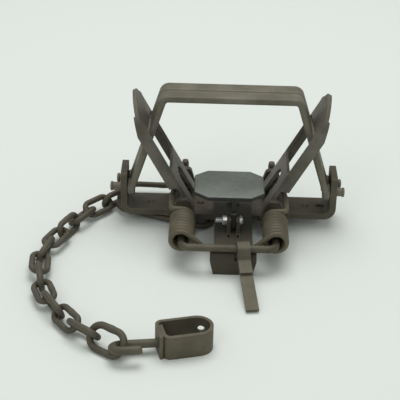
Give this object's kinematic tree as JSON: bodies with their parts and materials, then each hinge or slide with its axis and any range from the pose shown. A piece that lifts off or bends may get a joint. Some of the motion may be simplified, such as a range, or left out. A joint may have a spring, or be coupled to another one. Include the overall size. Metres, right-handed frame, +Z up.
{
  "type": "leghold trap",
  "caption": "Two-coil foothold trap, sprung: nested bow jaws on a flat base, coil-sprung levers, pan and dog, with a chain, swivel and strap clamp.",
  "frame": {"origin": "middle of the underside of the front foot, on the ground", "axes": "+X to the right along the base bar, +Y from the front foot to the jaws and the rear, +Z up"},
  "size_m": [0.2272, 0.233, 0.1056],
  "materials": {
    "waxed_steel": "dyed and waxed steel, satin",
    "chain_steel": "dyed round wire, satin",
    "strap_steel": "dyed strap with brown wear",
    "zinc_steel": "bright zinc",
    "black_plastic": "moulded, satin"
  },
  "bodies": {
    "base": {"base_bar": "waxed_steel", "cross_plate": "waxed_steel", "base_rivets": "waxed_steel", "ring_keeper": "waxed_steel", "keeper_rivets": "waxed_steel", "spring_rod": "waxed_steel", "left_spring": "waxed_steel", "right_spring": "waxed_steel", "pan_bolt": "zinc_steel", "pan_nut": "zinc_steel"},
    "front_jaw": {"front_jaw": "waxed_steel"},
    "rear_jaw": {"rear_jaw": "waxed_steel"},
    "left_lever": {"left_lever": "waxed_steel"},
    "right_lever": {"right_lever": "waxed_steel"},
    "pan": {"pan": "black_plastic"},
    "dog": {"dog": "waxed_steel"},
    "d_ring": {"d_ring": "chain_steel"},
    "chain_link_01": {"chain_link_01": "chain_steel"},
    "chain_link_02": {"chain_link_02": "chain_steel"},
    "chain_link_03": {"chain_link_03": "chain_steel"},
    "chain_link_04": {"chain_link_04": "chain_steel"},
    "chain_link_05": {"chain_link_05": "chain_steel"},
    "chain_link_06": {"chain_link_06": "chain_steel"},
    "chain_link_07": {"chain_link_07": "chain_steel"},
    "chain_link_08": {"chain_link_08": "chain_steel"},
    "chain_link_09": {"chain_link_09": "chain_steel"},
    "chain_link_10": {"chain_link_10": "chain_steel"},
    "chain_link_11": {"chain_link_11": "chain_steel"},
    "chain_link_12": {"chain_link_12": "chain_steel"},
    "chain_link_13": {"chain_link_13": "chain_steel"},
    "swivel_eye": {"swivel_eye": "chain_steel"},
    "strap_clamp": {"strap_clamp": "strap_steel"}
  },
  "joints": [
    {"name": "left_lever_swing", "type": "hinge", "parent": "base", "child": "left_lever", "pos_m": [-0.037, 0.0796, 0.02005], "axis": [0, -1, 0], "range_deg": [0, 58], "stiffness_Nm_per_rad": 6, "springref_deg": -1.72, "deforming": ["left_spring"]},
    {"name": "right_lever_swing", "type": "hinge", "parent": "base", "child": "right_lever", "pos_m": [0.03, 0.0796, 0.02005], "axis": [0, 1, 0], "range_deg": [0, 58], "stiffness_Nm_per_rad": 6, "springref_deg": -1.72, "deforming": ["right_spring"]},
    {"name": "front_jaw_swing", "type": "hinge", "parent": "base", "child": "front_jaw", "pos_m": [-0.0035, 0.0729, 0.0283], "axis": [1, 0, 0], "range_deg": [0, 29]},
    {"name": "rear_jaw_swing", "type": "hinge", "parent": "base", "child": "rear_jaw", "pos_m": [-0.0035, 0.0863, 0.0283], "axis": [-1, 0, 0], "range_deg": [0, 29]},
    {"name": "pan_tilt", "type": "hinge", "parent": "base", "child": "pan", "pos_m": [0, 0.0316, 0.025], "axis": [1, 0, 0], "range_deg": [-6, 6]},
    {"name": "dog_swing", "type": "hinge", "parent": "base", "child": "dog", "pos_m": [0.0065, 0.0006, 0.02005], "axis": [-1, 0, 0], "range_deg": [0, 110]},
    {"name": "ring_swing", "type": "hinge", "parent": "base", "child": "d_ring", "pos_m": [-0.0169, 0.0796, 0.00415], "axis": [0, -0.9982, -0.0599], "range_deg": [0, 60]},
    {"name": "chain_link_01_turn", "type": "hinge", "parent": "d_ring", "child": "chain_link_01", "pos_m": [-0.0834, 0.0988, 0.007], "axis": [0, 0, 1], "range_deg": [-6, 2]},
    {"name": "chain_link_02_turn", "type": "hinge", "parent": "chain_link_01", "child": "chain_link_02", "pos_m": [-0.09602, 0.08527, 0.007], "axis": [0, 0, 1], "range_deg": [-6, 2]},
    {"name": "chain_link_03_turn", "type": "hinge", "parent": "chain_link_02", "child": "chain_link_03", "pos_m": [-0.1084, 0.07152, 0.007], "axis": [0, 0, 1], "range_deg": [-6, 2]},
    {"name": "chain_link_04_turn", "type": "hinge", "parent": "chain_link_03", "child": "chain_link_04", "pos_m": [-0.11736, 0.05534, 0.007], "axis": [0, 0, 1], "range_deg": [-6, 2]},
    {"name": "chain_link_05_turn", "type": "hinge", "parent": "chain_link_04", "child": "chain_link_05", "pos_m": [-0.12518, 0.03857, 0.007], "axis": [0, 0, 1], "range_deg": [-6, 2]},
    {"name": "chain_link_06_turn", "type": "hinge", "parent": "chain_link_05", "child": "chain_link_06", "pos_m": [-0.13211, 0.02142, 0.007], "axis": [0, 0, 1], "range_deg": [-6, 1]},
    {"name": "chain_link_07_turn", "type": "hinge", "parent": "chain_link_06", "child": "chain_link_07", "pos_m": [-0.13659, 0.00347, 0.007], "axis": [0, 0, 1], "range_deg": [-6, 1]},
    {"name": "chain_link_08_turn", "type": "hinge", "parent": "chain_link_07", "child": "chain_link_08", "pos_m": [-0.1353, -0.01498, 0.007], "axis": [0, 0, 1], "range_deg": [-6, 1]},
    {"name": "chain_link_09_turn", "type": "hinge", "parent": "chain_link_08", "child": "chain_link_09", "pos_m": [-0.13177, -0.03314, 0.007], "axis": [0, 0, 1], "range_deg": [-6, 1]},
    {"name": "chain_link_10_turn", "type": "hinge", "parent": "chain_link_09", "child": "chain_link_10", "pos_m": [-0.12544, -0.05053, 0.007], "axis": [0, 0, 1], "range_deg": [-6, 1]},
    {"name": "chain_link_11_turn", "type": "hinge", "parent": "chain_link_10", "child": "chain_link_11", "pos_m": [-0.11564, -0.06622, 0.007], "axis": [0, 0, 1], "range_deg": [-6, 1]},
    {"name": "chain_link_12_turn", "type": "hinge", "parent": "chain_link_11", "child": "chain_link_12", "pos_m": [-0.1045, -0.08099, 0.007], "axis": [0, 0, 1], "range_deg": [-6, 1]},
    {"name": "chain_link_13_turn", "type": "hinge", "parent": "chain_link_12", "child": "chain_link_13", "pos_m": [-0.09013, -0.09263, 0.007], "axis": [0, 0, 1], "range_deg": [-6, 1]},
    {"name": "swivel_turn", "type": "hinge", "parent": "chain_link_13", "child": "swivel_eye", "pos_m": [-0.07251, -0.10497, 0.008], "axis": [0, 0, 1], "range_deg": [-6, 1]},
    {"name": "clamp_spin", "type": "hinge", "parent": "swivel_eye", "child": "strap_clamp", "pos_m": [-0.04923, -0.09718, 0.00687], "axis": [0.9903, 0.1392, 0], "continuous": true}
  ],
  "couplings": [
    {"joint": "right_lever_swing", "follows": "left_lever_swing", "ratio": 1},
    {"joint": "front_jaw_swing", "follows": "left_lever_swing", "ratio": 0.5},
    {"joint": "rear_jaw_swing", "follows": "left_lever_swing", "ratio": 0.5}
  ]
}
